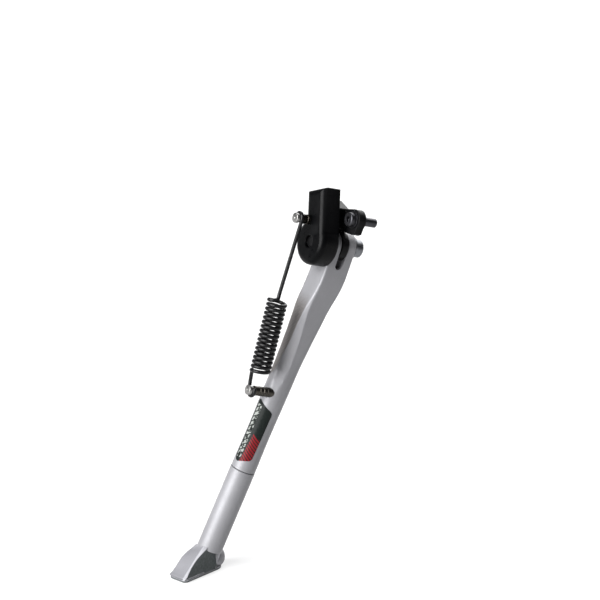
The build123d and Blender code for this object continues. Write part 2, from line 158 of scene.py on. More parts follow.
class Paint:
    """A small builder round one Principled material."""

    def __init__(self, name, colour, metallic, roughness, specular=None):
        self.material = bpy.data.materials.new(name)
        self.material.use_nodes = True
        self.tree = self.material.node_tree
        self.shader = self.tree.nodes["Principled BSDF"]
        self.shader.inputs["Base Color"].default_value = (*colour, 1)
        self.shader.inputs["Metallic"].default_value = metallic
        self.shader.inputs["Roughness"].default_value = roughness
        if specular is not None:
            self.shader.inputs["Specular IOR Level"].default_value = specular
        self.place = self.add("ShaderNodeTexCoord").outputs["Object"]
        self.normal = None

    def add(self, kind, **settings):
        node = self.tree.nodes.new(kind)
        for key, value in settings.items():
            setattr(node, key, value)
        return node

    def link(self, source, target):
        self.tree.links.new(source, target)

    # ---- coordinates
    def from_point(self, point):
        """Coordinates in metres from a point, along the world's axes."""
        shift = self.add("ShaderNodeVectorMath", operation="SUBTRACT")
        shift.inputs[1].default_value = point
        self.link(self.place, shift.inputs[0])
        return shift.outputs["Vector"]

    def turned(self, axes):
        """Coordinates in metres from the pivot, along three given directions."""
        shifted = self.from_point(PIVOT)
        join = self.add("ShaderNodeCombineXYZ")
        for index, axis in enumerate(axes):
            dot = self.add("ShaderNodeVectorMath", operation="DOT_PRODUCT")
            dot.inputs[1].default_value = axis
            self.link(shifted, dot.inputs[0])
            self.link(dot.outputs["Value"], join.inputs[index])
        return join.outputs["Vector"]

    def apart(self, vector):
        """The three coordinates of a vector."""
        node = self.add("ShaderNodeSeparateXYZ")
        self.link(vector, node.inputs["Vector"])
        return [node.outputs[k] for k in ("X", "Y", "Z")]

    # ---- values and masks
    def math(self, operation, a, b=0.0):
        node = self.add("ShaderNodeMath", operation=operation)
        for slot, value in zip(node.inputs, (a, b)):
            if isinstance(value, (int, float)):
                slot.default_value = value
            else:
                self.link(value, slot)
        return node.outputs["Value"]

    def line(self, a, b, slope):
        """a plus slope times b."""
        return self.math("ADD", a, self.math("MULTIPLY", b, slope))

    def range(self, source, low, high, out_low, out_high):
        node = self.add("ShaderNodeMapRange")
        limits = zip(("From Min", "From Max", "To Min", "To Max"), (low, high, out_low, out_high))
        for slot, value in limits:
            node.inputs[slot].default_value = value
        self.link(source, node.inputs["Value"])
        return node.outputs["Result"]

    def over(self, value, limit, soft):
        """Mask that rises from 0 to 1 round a limit, softly on either side."""
        return self.range(value, limit - soft, limit + soft, 0, 1)

    def under(self, value, limit, soft):
        """Mask that falls from 1 to 0 round a limit, softly on either side."""
        return self.range(value, limit - soft, limit + soft, 1, 0)

    def rise(self, metres, start, full):
        """Mask that rises from 0 to 1 between two millimetre values."""
        return self.range(metres, start * MM, full * MM, 0, 1)

    def fall(self, metres, full, end):
        """Mask that falls from 1 to 0 between two millimetre values."""
        return self.range(metres, full * MM, end * MM, 1, 0)

    def both(self, *masks):
        """Product of masks."""
        made = masks[0]
        for mask in masks[1:]:
            made = self.math("MULTIPLY", made, mask)
        return made

    # ---- patterns
    def noise(self, scale, detail, roughness=NOISE_ROUGHNESS):
        """Noise of this many blobs per metre."""
        node = self.add("ShaderNodeTexNoise")
        node.inputs["Scale"].default_value = scale
        node.inputs["Detail"].default_value = detail
        node.inputs["Roughness"].default_value = roughness
        self.link(self.place, node.inputs["Vector"])
        return node.outputs["Fac"]

    def waves(self, direction, axes, scale, distortion):
        """Even bands, from 0 to 1, in coordinates from the pivot along the given axes."""
        node = self.add("ShaderNodeTexWave", wave_type="BANDS", bands_direction=direction)
        node.inputs["Scale"].default_value = scale
        node.inputs["Distortion"].default_value = distortion
        self.link(self.turned(axes), node.inputs["Vector"])
        return node.outputs["Fac"]

    def clouds(self, scale, detail, dark, light, spread, roughness=NOISE_ROUGHNESS):
        """Colour from dark to light by noise; spread is the noise at which each is reached."""
        node = self.add("ShaderNodeValToRGB")
        for element, position, colour in zip(node.color_ramp.elements, spread, (dark, light)):
            element.position = position
            element.color = (*colour, 1)
        self.link(self.noise(scale, detail, roughness), node.inputs["Fac"])
        return node.outputs["Color"]

    def mix(self, factor, a, b, blend="MIX"):
        node = self.add("ShaderNodeMix", data_type="RGBA", blend_type=blend)
        slots = (node.inputs["Factor"], node.inputs["A"], node.inputs["B"])
        for slot, value in zip(slots, (factor, a, b)):
            if isinstance(value, (int, float)):
                slot.default_value = value
            elif isinstance(value, tuple):
                slot.default_value = (*value, 1)
            else:
                self.link(value, slot)
        return node.outputs["Result"]

    # ---- what reaches the shader
    def colour(self, socket):
        self.link(socket, self.shader.inputs["Base Color"])

    def gloss(self, scale, smooth_end, rough_end, spread):
        """Roughness between two values by noise; spread is the noise at which each is reached."""
        uneven = self.range(self.noise(scale, 3), *spread, smooth_end, rough_end)
        self.link(uneven, self.shader.inputs["Roughness"])

    def chain(self, node):
        """Adds a node that bends the surface normal to those before it."""
        if self.normal is not None:
            self.link(self.normal, node.inputs["Normal"])
        self.normal = node.outputs["Normal"]
        self.link(self.normal, self.shader.inputs["Normal"])

    def bump(self, height, strength, depth):
        """Relief from a height between 0 and 1, depth in millimetres."""
        node = self.add("ShaderNodeBump")
        node.inputs["Strength"].default_value = strength
        node.inputs["Distance"].default_value = depth * MM
        self.link(height, node.inputs["Height"])
        self.chain(node)

    def grain(self, scale, detail, strength, depth, roughness=NOISE_ROUGHNESS):
        """Noise as relief."""
        self.bump(self.noise(scale, detail, roughness), strength, depth)

    def rounded_edges(self, radius):
        """Softens the light over sharp edges, radius in millimetres."""
        node = self.add("ShaderNodeBevel", samples=6)
        node.inputs["Radius"].default_value = radius * MM
        self.chain(node)


def scaled(tone, share):
    return tuple(c * share for c in tone)


def plain_floor():
    """Gives off light of its own as well, so that it stays white round a faint shadow."""
    dull, dull_warm = (0.30, 0.30, 0.302), (0.32, 0.32, 0.32)
    glow, glow_strength = (1.0, 1.0, 1.0), 0.60
    paint = Paint("floor_pale", dull, 0, 0.9, specular=0.0)
    paint.colour(paint.mix(paint.noise(3, 3), dull, dull_warm))
    paint.shader.inputs["Emission Color"].default_value = (*glow, 1)
    paint.shader.inputs["Emission Strength"].default_value = glow_strength
    return paint.material


def black_coat():
    """Satin powder coat with a faint orange peel, dust in patches, and lighter convex edges: partly rubbed paint,
    partly a painted highlight along the ridges.
    """
    clean, dusty, edge_wear_and_highlight = (0.0006, 0.0007, 0.0009), (0.0015, 0.0015, 0.0017), (0.012, 0.012, 0.0125)
    convex, sharp, most_edge_wear_and_highlight = 0.53, 0.62, 0.35   # pointiness where the rubbed paint and painted highlight on the edges start and are full
    paint = Paint("black_coat", clean, 0, 0.3, specular=0.06)
    dust = paint.clouds(70, 4, clean, dusty, (0.45, 0.85))
    pointiness = paint.add("ShaderNodeNewGeometry").outputs["Pointiness"]
    # convex edges lighter: partly rubbed paint, partly a painted highlight along the ridges
    paint.colour(paint.mix(paint.range(pointiness, convex, sharp, 0, most_edge_wear_and_highlight), dust, edge_wear_and_highlight))
    paint.gloss(220, 0.26, 0.40, (0.3, 0.75))
    paint.rounded_edges(1.6)
    paint.grain(900, 2, strength=0.22, depth=0.10)
    paint.grain(2600, 2, strength=0.12, depth=0.05)
    return paint.material


def blasted_skin(paint, dark, light):
    """Colour of bead-blasted alloy: soft clouds under fine specks."""
    cloud = paint.clouds(28, 4, dark, light, (0.3, 0.75))
    speck = paint.clouds(1900, 2, (0.86, 0.86, 0.87), (1.0, 1.0, 1.0), (0.35, 0.65), roughness=0.7)
    speck_share = 0.55
    return paint.mix(speck_share, cloud, speck, "MULTIPLY")


def blasted_grain(paint, strength):
    """Relief of bead-blasted alloy, fine and then broad."""
    paint.grain(2400, 3, strength, depth=0.06, roughness=0.65)
    paint.grain(120, 2, strength=0.10, depth=0.3)


SCOOP_SHADE_FADE = (0.03, 0.18)           # outside the hollow's radius, where its painted shade fades
SCOOP_STOP = 0.2                    # fade at the hollow's inboard end
RIM_SHADE_FADE = (1.4, 2.0)               # height above the floor at which the painted shade along the rim ends
TOE_FADE = (14, 19)                 # inboard of the toe, where the darkening near the toe gives way to the tube's plain colour
TUBE_LEAN = 0.361                   # how far the tube leans inboard for each millimetre up
RIDGE_HIGHLIGHT_FADE = (6.4, 7.6)             # rearward of the sole's middle, where the painted highlight along the ridge begins


def cast_alloy():
    """Shoe and sole: blasted cast alloy, with a painted highlight along the ridge, painted shade in the hollow and
    round the bottom of the sole, and darker near the toe.
    """
    tone, hollow_shade_dark, hollow_shade_light = (0.212, 0.212, 0.225), (0.045, 0.052, 0.053), (0.085, 0.094, 0.095)
    toe_share, ridge_highlight_share = (0.70, 0.70, 0.71), (1.35, 1.35, 1.35)
    paint = Paint("shoe_cast", tone, 0.18, 0.6, specular=0.22)
    paint.rounded_edges(1.1)
    rear, inboard, up = paint.apart(paint.from_point(SOLE_ZERO))
    aside = paint.math("SUBTRACT", rear, SCOOP_REAR * MM)
    above = paint.math("SUBTRACT", up, SCOOP_UP * MM)
    squares = (paint.math("MULTIPLY", value, value) for value in (aside, above))
    reach = paint.math("SQRT", paint.math("ADD", *squares))
    scooped = paint.fall(reach, SCOOP_R + SCOOP_SHADE_FADE[0], SCOOP_R + SCOOP_SHADE_FADE[1])
    before = paint.fall(inboard, SCOOP_END - SCOOP_STOP, SCOOP_END)
    # painted shade along the sole's rim next to the floor
    low = paint.fall(up, *RIM_SHADE_FADE)
    # painted shade: in the hollow, and along the sole's rim next to the floor
    dark = paint.math("MAXIMUM", paint.both(scooped, before), low)
    # darker near the toe
    toe = paint.fall(paint.line(inboard, up, -TUBE_LEAN), *TOE_FADE)
    # painted highlight along the ridge
    ridge = paint.rise(rear, *RIDGE_HIGHLIGHT_FADE)
    alloy = blasted_skin(paint, scaled(tone, 0.93), scaled(tone, 1.05))
    # dark clouds that paint that shade
    hollow_shade = paint.clouds(500, 4, hollow_shade_dark, hollow_shade_light, (0.3, 0.8))
    # darker near the toe, with the painted highlight along the ridge
    cast = paint.mix(1.0, alloy, paint.mix(ridge, toe_share, ridge_highlight_share), "MULTIPLY")
    paint.colour(paint.mix(dark, paint.mix(toe, alloy, cast), hollow_shade))
    paint.gloss(320, 0.52, 0.68, (0.25, 0.8))
    blasted_grain(paint, 0.3)
    return paint.material


FACET_EDGES = (  # lines along the milled facet's rearward edge: slope, and millimetres rearward at the pivot
    (-0.0833, 12.2), (-0.1429, 17.91), (-0.64, 79.56))
FACET_FADE = (-0.1, 0.35)           # ahead of that edge
FACET_BEGINS = (48, 62)             # along the leg
FACET_OUTER = (3, 5)                # outboard of the leg's middle


def arm_alloy():
    """Arm and lower leg: blasted alloy, with painted shade, a darker brownish colour, on the arm's milled facet,
    which also shows its milling marks.
    """
    tone, dark, light = (0.185, 0.185, 0.195), (0.172, 0.172, 0.181), (0.198, 0.198, 0.208)
    facet_shade_share = (0.66, 0.62, 0.575)
    paint = Paint("arm_blasted", tone, 0.28, 0.45, specular=0.3)
    paint.rounded_edges(0.5)
    rear, side, along = paint.apart(paint.turned((REAR, SIDE, LEG)))
    edge = None
    for slope, start in FACET_EDGES:
        line = paint.math("ADD", paint.math("MULTIPLY", along, slope), start * MM)
        edge = line if edge is None else paint.math("MINIMUM", edge, line)
    facet = paint.both(paint.rise(paint.math("SUBTRACT", edge, rear), *FACET_FADE),
                       paint.rise(along, *FACET_BEGINS), paint.rise(side, *FACET_OUTER))
    alloy = blasted_skin(paint, dark, light)
    # painted shade on the milled facet
    paint.colour(paint.mix(facet, alloy, paint.mix(1.0, alloy, facet_shade_share, "MULTIPLY")))
    paint.gloss(320, 0.40, 0.54, (0.25, 0.8))
    marks = paint.waves("DIAGONAL", (REAR, SIDE * 0.2, LEG), scale=170, distortion=0.5)
    paint.bump(paint.both(marks, facet), strength=0.8, depth=0.16)
    blasted_grain(paint, 0.22)
    return paint.material


POST_HEAD_FADE = (1.2, 1.9)         # outboard of the spring's plane, where the bright head begins


def post_steel():
    """Turned post: an oiled dark shank and a bright faced head."""
    paint = Paint("post_steel", (0.3, 0.29, 0.28), 0.95, 0.3)
    paint.rounded_edges(0.25)
    out = paint.apart(paint.turned((REAR, DOWN, OUT)))[2]
    head = paint.rise(out, SPRING_OUT + POST_HEAD_FADE[0], SPRING_OUT + POST_HEAD_FADE[1])
    shank = paint.clouds(420, 4, (0.028, 0.025, 0.021), (0.062, 0.057, 0.049), (0.3, 0.75))
    bright = paint.clouds(700, 3, (0.22, 0.217, 0.213), (0.29, 0.286, 0.28), (0.3, 0.75))
    paint.colour(paint.mix(head, shank, bright))
    paint.gloss(600, 0.24, 0.40, (0.3, 0.7))
    paint.bump(paint.waves("Z", (REAR, DOWN, OUT), scale=330, distortion=0.4), strength=0.4, depth=0.10)
    paint.grain(2200, 2, strength=0.15, depth=0.04)
    return paint.material


# the decal's print, in millimetres across it (rearward) and along the leg
STRIPE_PITCH, STRIPE_SLOPE, STRIPE_GAP = 2.8, -0.73, 0.40
BLOCK_LEFT, BLOCK_LEFT_SLOPE = 19.6, 0.098      # the red block's limits: a value and a slope each
BLOCK_TOP, BLOCK_TOP_SLOPE = 183.2, -0.56
BLOCK_LOW = 212.2
BAR_PITCH, BAR_SLOPE, BAR_GAP = 4.7, 0.85, 0.30
BAR_ACROSS, BAR_ALONG = (-6.4, -1.3), (157.5, 209.5)
NOTCH_ACROSS, NOTCH_PITCH, NOTCH_GAP = (-4.3, -3.1), 9.4, 0.55
PRINT_SOFT = 0.2                    # half width of a printed edge


def decal_film():
    """Printed film: near-black ground, a band of broken grey marks and a block of red diagonals."""
    ground_dark, ground_light = (0.004, 0.006, 0.0055), (0.008, 0.010, 0.0095)
    grey_ink, red_ink = (0.19, 0.20, 0.19), (0.13, 0.006, 0.009)
    paint = Paint("decal_film", ground_light, 0, 0.3, specular=0.08)
    place = paint.apart(paint.turned((DECAL_ACROSS, LEG, DECAL_DIR)))
    across, along = (paint.math("MULTIPLY", value, 1 / MM) for value in place[:2])

    def repeat(value, pitch, gap, soft):
        """Bars that take up each pitch but for a gap at its start, as a share of it."""
        return paint.over(paint.math("FRACT", paint.math("DIVIDE", value, pitch)), gap, soft)

    def between(value, limits, soft):
        return paint.both(paint.over(value, limits[0], soft), paint.under(value, limits[1], soft))

    stripes = repeat(paint.line(along, across, STRIPE_SLOPE), STRIPE_PITCH, STRIPE_GAP, 0.06)
    block = paint.both(paint.over(paint.line(across, along, BLOCK_LEFT_SLOPE), BLOCK_LEFT, PRINT_SOFT),
                       paint.over(paint.line(along, across, BLOCK_TOP_SLOPE), BLOCK_TOP, PRINT_SOFT),
                       paint.under(along, BLOCK_LOW, PRINT_SOFT))
    tilt = paint.line(along, across, BAR_SLOPE)
    bars = repeat(tilt, BAR_PITCH, BAR_GAP, 0.07)
    notch = paint.both(between(across, NOTCH_ACROSS, 0.15), repeat(tilt, NOTCH_PITCH, NOTCH_GAP, 0.05))
    band = paint.both(between(across, BAR_ACROSS, PRINT_SOFT), between(along, BAR_ALONG, PRINT_SOFT))
    worn = paint.over(paint.noise(360, 2), 0.44, 0.05)
    grey = paint.both(bars, paint.math("SUBTRACT", 1, notch), band, worn)
    ground = paint.clouds(500, 3, ground_dark, ground_light, (0.3, 0.8))
    printed = paint.mix(grey, ground, grey_ink)
    paint.colour(paint.mix(paint.both(stripes, block), printed, red_ink))
    paint.gloss(500, 0.30, 0.44, (0.3, 0.7))
    paint.grain(1200, 2, strength=0.08, depth=0.05)
    return paint.material


RECESS_SHADE_FADE = (18, 22)                 # outboard of the clevis centre, where a bolt's end in the bracket's recess turns black with painted shade


def steel(name, tone, rough, recess_shade=False):
    """Plated steel; its outboard end, in the bracket's recess, is painted black as the recess's shade when asked.
    """
    paint = Paint(name, tone, 0.95, rough)
    paint.rounded_edges(0.3)
    skin_tone = paint.clouds(260, 4, scaled(tone, 0.78), scaled(tone, 1.15), (0.3, 0.75))
    if recess_shade:
        out = paint.apart(paint.turned((REAR, DOWN, OUT)))[2]
        outer = paint.rise(out, *RECESS_SHADE_FADE)
        # painted shade of the bracket's recess on the bolt's end
        skin_tone = paint.mix(outer, skin_tone, (0.012, 0.012, 0.013))
    paint.colour(skin_tone)
    paint.gloss(500, rough * 0.8, rough * 1.25, (0.3, 0.7))
    paint.grain(2200, 2, strength=0.15, depth=0.04)
    return paint.material


def spring_coat():
    """Glossy black coat of the spring's wire."""
    paint = Paint("spring_coat", (0.005, 0.005, 0.006), 0, 0.28, specular=0.16)
    paint.colour(paint.clouds(400, 3, (0.003, 0.003, 0.0035), (0.008, 0.008, 0.0085), (0.4, 0.8)))
    paint.gloss(900, 0.22, 0.36, (0.3, 0.7))
    paint.grain(1800, 2, strength=0.12, depth=0.05)
    return paint.material


def bronze():
    """Sintered bronze of the bushes."""
    paint = Paint("bronze", (0.42, 0.27, 0.13), 0.9, 0.35)
    paint.colour(paint.clouds(600, 3, (0.36, 0.22, 0.11), (0.5, 0.33, 0.17), (0.3, 0.8)))
    paint.grain(3000, 2, strength=0.2, depth=0.04)
    return paint.material


MATERIALS = {
    "black_coat": black_coat(),
    "black_steel": steel("black_steel", (0.045, 0.045, 0.05), 0.36),
    "dark_steel": steel("dark_steel", (0.14, 0.145, 0.155), 0.34, True),
    "turned_steel": post_steel(),
    "bronze": bronze(),
    "blasted_aluminium": arm_alloy(),
    "cast_aluminium": cast_alloy(),
    "spring_wire": spring_coat(),
    "decal_film": decal_film(),
}


# ------------------------------------------------------------------ mesh helpers
DOUBLES, SLIVERS = 0.002, 0.004     # points closer than this are merged: in a new mesh, after a cut
SHARP = 35                          # degrees between faces, from which an edge is shaded sharp
ALMOST_HALF = 0.01                  # a corner's radius stays this much under half the side


def mesh_of(name, points, faces):
    """A new mesh, and a builder filled from it that still has to be written back."""
    mesh = bpy.data.meshes.new(name)
    mesh.from_pydata([tuple(p) for p in points], [], faces)
    shape = bmesh.new()
    shape.from_mesh(mesh)
    return mesh, shape


def piece(name, points, faces, paint, body, replaced=(), sharp=SHARP):
    """A smooth-shaded mesh that rides on a body and stands for some CAD nodes."""
    mesh, shape = mesh_of(name, points, faces)
    bmesh.ops.remove_doubles(shape, verts=shape.verts, dist=DOUBLES * MM)
    bmesh.ops.recalc_face_normals(shape, faces=shape.faces)
    shape.to_mesh(mesh)
    shape.free()
    obj = bpy.data.objects.new(name, mesh)
    bpy.context.scene.collection.objects.link(obj)
    return dress(obj, paint, body, replaced, sharp)


def dress(obj, paint, body, replaced=(), sharp=SHARP):
    """Material, shading, body and replaced CAD nodes; a mesh without a body is still in the making."""
    obj.data.materials.clear()
    obj.data.materials.append(paint)
    obj.data.shade_smooth()
    obj.data.set_sharp_from_angle(angle=math.radians(sharp))
    if body:
        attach(obj, body)
    if replaced:
        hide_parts(*replaced)
    return obj


def evaluated_mesh(obj):
    """A new mesh with the object's modifiers applied."""
    bpy.context.view_layer.update()
    return bpy.data.meshes.new_from_object(obj.evaluated_get(bpy.context.evaluated_depsgraph_get()))


def cut(obj, tools, how="DIFFERENCE"):
    """Boolean obj by closed tool meshes, then drop the tools and clean up slivers."""
    for points, faces in tools:
        mesh, shape = mesh_of("tool", points, faces)
        bmesh.ops.recalc_face_normals(shape, faces=shape.faces)
        shape.to_mesh(mesh)
        shape.free()
        tool = bpy.data.objects.new("tool", mesh)
        bpy.context.scene.collection.objects.link(tool)
        change = obj.modifiers.new("cut", "BOOLEAN")
        change.operation, change.solver, change.object = how, "EXACT", tool
        made = evaluated_mesh(obj)
        obj.modifiers.remove(change)
        obj.data = made
        bpy.data.objects.remove(tool)
    shape = bmesh.new()
    shape.from_mesh(obj.data)
    bmesh.ops.remove_doubles(shape, verts=shape.verts, dist=SLIVERS * MM)
    bmesh.ops.dissolve_degenerate(shape, edges=shape.edges, dist=SLIVERS * MM)
    shape.to_mesh(obj.data)
    shape.free()


def skin(rings):
    """Points and faces of a closed surface through rings of equal length, with flat ends."""
    count = len(rings[0])
    points = [p for ring in rings for p in ring]
    faces = []
    for row in range(len(rings) - 1):
        here, there = row * count, (row + 1) * count
        for col in range(count):
            nxt = (col + 1) % count
            faces.append((here + col, here + nxt, there + nxt, there + col))
    faces.append(tuple(range(count))[::-1])
    faces.append(tuple(range((len(rings) - 1) * count, len(rings) * count)))
    return points, faces


def turns(sides):
    """Angles of a full turn in equal steps."""
    return [2 * math.pi * k / sides for k in range(sides)]


WIRE_SIDES = 18
WIRE_CAPS = (0.35, 0.7, 0.92)       # radii of the rings in a wire's rounded end, as shares of its own
CAP_LONG = 0.5                      # how far that end stands out, as a share of the wire's radius


def wire(path, radius):
    """Points and faces of a round wire with rounded ends along a path, carried without twist."""
    radius = radius * MM
    tangents = []
    for i in range(len(path)):
        a, b = path[max(i - 1, 0)], path[min(i + 1, len(path) - 1)]
        tangents.append((b - a).normalized())
    across = tangents[0].orthogonal().normalized()
    frames = []
    for centre, along in zip(path, tangents):
        across = (across - along * across.dot(along)).normalized()
        frames.append((centre, along, across, along.cross(across)))

    def ring(place, scale, shift):
        centre, along, u, v = place
        return [centre + along * shift + (u * math.cos(t) + v * math.sin(t)) * radius * scale
                for t in turns(WIRE_SIDES)]

    rings = [ring(frames[0], c, -radius * CAP_LONG * math.sqrt(1 - c * c)) for c in WIRE_CAPS]
    rings += [ring(place, 1, 0) for place in frames]
    rings += [ring(frames[-1], c, radius * CAP_LONG * math.sqrt(1 - c * c)) for c in reversed(WIRE_CAPS)]
    return skin(rings)


def lathe(origin, along, profile, sides=72):
    """Points and faces of a turned bar: profile is (distance along, radius) in millimetres."""
    along = along.normalized()
    u = along.orthogonal().normalized()
    v = along.cross(u)
    rings = []
    for distance, radius in profile:
        rings.append([origin + (along * distance + (u * math.cos(t) + v * math.sin(t)) * radius) * MM
                      for t in turns(sides)])
    return skin(rings)


def prism(outline, start, sweep):
    """Points and faces of an outline (world points) swept by a vector from start."""
    return skin([[p + start for p in outline], [p + start + sweep for p in outline]])


def smooth(t):
    """Step from 0 to 1 with level ends."""
    t = min(1.0, max(0.0, t))
    return t * t * (3 - 2 * t)


def track(table, x):
    """Smooth row of a table of (x, values...) at x, without overshoot."""
    if x <= table[0][0]:
        return table[0][1:]
    if x >= table[-1][0]:
        return table[-1][1:]
    i = max(k for k in range(len(table) - 1) if table[k][0] <= x)

    def slope(k, c):
        if k == 0 or k == len(table) - 1:
            return 0.0
        left = (table[k][c] - table[k - 1][c]) / (table[k][0] - table[k - 1][0])
        right = (table[k + 1][c] - table[k][c]) / (table[k + 1][0] - table[k][0])
        return 0.0 if left * right <= 0 else 2 * left * right / (left + right)

    h = table[i + 1][0] - table[i][0]
    t = (x - table[i][0]) / h
    row = []
    for c in range(1, len(table[0])):
        p0, p1, m0, m1 = table[i][c], table[i + 1][c], slope(i, c) * h, slope(i + 1, c) * h
        row.append((2 * t ** 3 - 3 * t ** 2 + 1) * p0 + (t ** 3 - 2 * t ** 2 + t) * m0
                   + (-2 * t ** 3 + 3 * t ** 2) * p1 + (t ** 3 - t ** 2) * m1)
    return row


def rounded(depth, width, corner, arc=12, flat=16):
    """Points (x, y) round a rounded rectangle, a fixed number on each arc and each flat."""
    corner = min(corner, depth / 2 - ALMOST_HALF, width / 2 - ALMOST_HALF)
    hx, hy = depth / 2 - corner, width / 2 - corner
    centres = ((hx, hy), (-hx, hy), (-hx, -hy), (hx, -hy))
    ring = []
    for quarter, (cx, cy) in enumerate(centres):
        start = quarter * math.pi / 2
        for k in range(arc):
            t = start + math.pi / 2 * k / (arc - 1)
            ring.append((cx + corner * math.cos(t), cy + corner * math.sin(t)))
        last = ring[-1]
        turn = start + math.pi / 2
        ncx, ncy = centres[(quarter + 1) % 4]
        first = (ncx + corner * math.cos(turn), ncy + corner * math.sin(turn))
        for k in range(1, flat):
            t = k / flat
            ring.append((last[0] + (first[0] - last[0]) * t, last[1] + (first[1] - last[1]) * t))
    return ring


# ------------------------------------------------------------------ leg arm
SEAM, SEAM_TRIM = 220.0, 0.35       # where the lower leg begins, and the arm's chamfer there
LEAN_START, LEAN_LONG = 22, 42      # where the arm turns from the swing plane's line to the leg's
EAR_R, EAR_CORNER = 12.0, 1.6       # round top of the fork
EAR_GAP = 0.02                      # that corner stays this much under half the depth
EAR_STEPS = (3, 8, 14, 21, 29, 38, 47, 56, 65, 74, 83)  # degrees round that top
ARM = (  # millimetres along the leg: depth front to rear, width in to out, corner radius
    (26, 24.0, 24.6, 1.8), (60, 21.6, 24.0, 3.2), (96, 20.6, 23.2, 7.2), (118, 21.0, 22.4, 9.2),
    (142, 21.6, 22.2, 9.9), (184, 21.4, 21.4, 10.2), (SEAM, 22.4, 22.4, 11.1))
BEVEL_REAR, BEVEL_SIDE = 0.707, 0.707   # the way the rear outboard bevel faces
BEVEL = (  # millimetres along the leg, depth taken off the rounded corner
    (44, 0.0), (60, 0.4), (76, 1.2), (96, 2.0), (112, 1.9), (130, 1.2), (152, 0.0))
FACET = (  # edge of the milled facet: millimetres along the leg, rearward edge, tilt in degrees
    (44, 9.4, 0.0), (56, 7.6, 2.5), (76, 5.6, 7.5), (96, 4.2, 9.5), (124, 0.2, 10.0), (129, -3.0, 10.0))
FACET_LOW = 130                     # its last section along the leg
FACET_SINK, FACET_SINK_TILT = 0.3, 7    # depth of the facet under the side, full from this tilt on
FORK_HALF, FORK_TOP, FORK_FLOOR = 3.8, 18, -14.5    # slot for the bracket's lug, heights from the pivot
FORK_STEPS = 24                     # round the slot's floor
PIVOT_BORE, SPIGOT_BORE, PIN_BORE = 7.5, 7.5, 2.5   # radii
SPIGOT_START, SPIGOT_LONG = 188, 40
PIN_AT, PIN_DEEP = 204, 20
THROUGH = 60                        # length of a tool that cuts right through


def arm_frame(along):
    """Centre, rearward and outboard direction of the arm's section at this distance down the leg."""
    turn = smooth((along - LEAN_START) / LEAN_LONG)
    line = DOWN * (1 - turn) + LEG * turn
    return PIVOT + line * along * MM, REAR, line.normalized().cross(REAR)


def arm_section(along):
    """Depth, width and corner radius of the arm, and of the fork's round top above the pivot."""
    depth, width, corner = track(ARM, along)
    if along < 0:
        depth = 2 * math.sqrt(EAR_R ** 2 - along ** 2)
        corner = min(EAR_CORNER, depth / 2 - EAR_GAP)
    return depth, width, corner


def arm_ring(along):
    """World points round the arm, with the milled facet and the bevel beside it."""
    depth, width, corner = arm_section(along)
    centre, rear, side = arm_frame(along)
    trim = SEAM_TRIM if along == SEAM else 0.0
    edge, tilt = track(FACET, along)
    fall = math.tan(math.radians(tilt))
    corner = min(corner, depth / 2 - ALMOST_HALF, width / 2 - ALMOST_HALF)
    flat = ((depth / 2 - corner) * BEVEL_REAR + (width / 2 - corner) * BEVEL_SIDE + corner
            - track(BEVEL, along)[0])
    ring = []
    for x, y in rounded(depth - 2 * trim, width - 2 * trim, corner):
        if FACET[0][0] < along < FACET_LOW and y > 0 and x < edge:
            y = min(y, width / 2 - FACET_SINK * smooth(tilt / FACET_SINK_TILT) - (edge - x) * fall)
        if BEVEL[0][0] < along < BEVEL[-1][0]:
            past = x * BEVEL_REAR + y * BEVEL_SIDE - flat
            if past > 0:
                x, y = x - BEVEL_REAR * past, y - BEVEL_SIDE * past
        ring.append(centre + (rear * x + side * y) * MM)
    return ring


def build_arm():
    stations = [-EAR_R * math.cos(math.radians(a)) for a in EAR_STEPS]
    stations += [1.0 * k for k in range(0, int(SEAM))] + [SEAM - SEAM_TRIM, SEAM]
    points, faces = skin([arm_ring(along) for along in stations])
    paint = MATERIALS["blasted_aluminium"]
    arm = piece("arm", points, faces, paint, "")
    fork = [at_pivot(0, FORK_TOP, FORK_HALF), at_pivot(0, FORK_FLOOR, FORK_HALF)]
    for k in range(1, FORK_STEPS):
        t = math.pi * k / FORK_STEPS
        fork.append(at_pivot(0, FORK_FLOOR - FORK_HALF * math.sin(t), FORK_HALF * math.cos(t)))
    fork += [at_pivot(0, FORK_FLOOR, -FORK_HALF), at_pivot(0, FORK_TOP, -FORK_HALF)]
    pin_start = PIVOT + (LEG * PIN_AT - SIDE * PIN_DEEP) * MM
    cut(arm, [
        prism(fork, REAR * (-THROUGH / 2 * MM), REAR * (THROUGH * MM)),
        lathe(PIVOT - OUT * (THROUGH / 2 * MM), OUT, ((0, PIVOT_BORE), (THROUGH, PIVOT_BORE))),
        lathe(pin_start, SIDE, ((0, PIN_BORE), (PIN_DEEP, PIN_BORE)), sides=32),
        lathe(PIVOT + LEG * SPIGOT_START * MM, LEG, ((0, SPIGOT_BORE), (SPIGOT_LONG, SPIGOT_BORE)))])
    dress(arm, paint, "leg", ("leg_arm",), sharp=28)


# ------------------------------------------------------------------ shoe
SOLE_TOP = 2.6                      # the sole plate's thickness
SHOE_TOP = 300.0                    # the shoe's own piece of the round leg begins here, along the leg
TUBE_R, TUBE_BELOW = 11.4, 6        # that piece, which runs on below the floor before it is cut
HEEL_AT, HEEL_R, HEEL_STEPS = (0.2, 45.4, 9.0), 10.8, 28
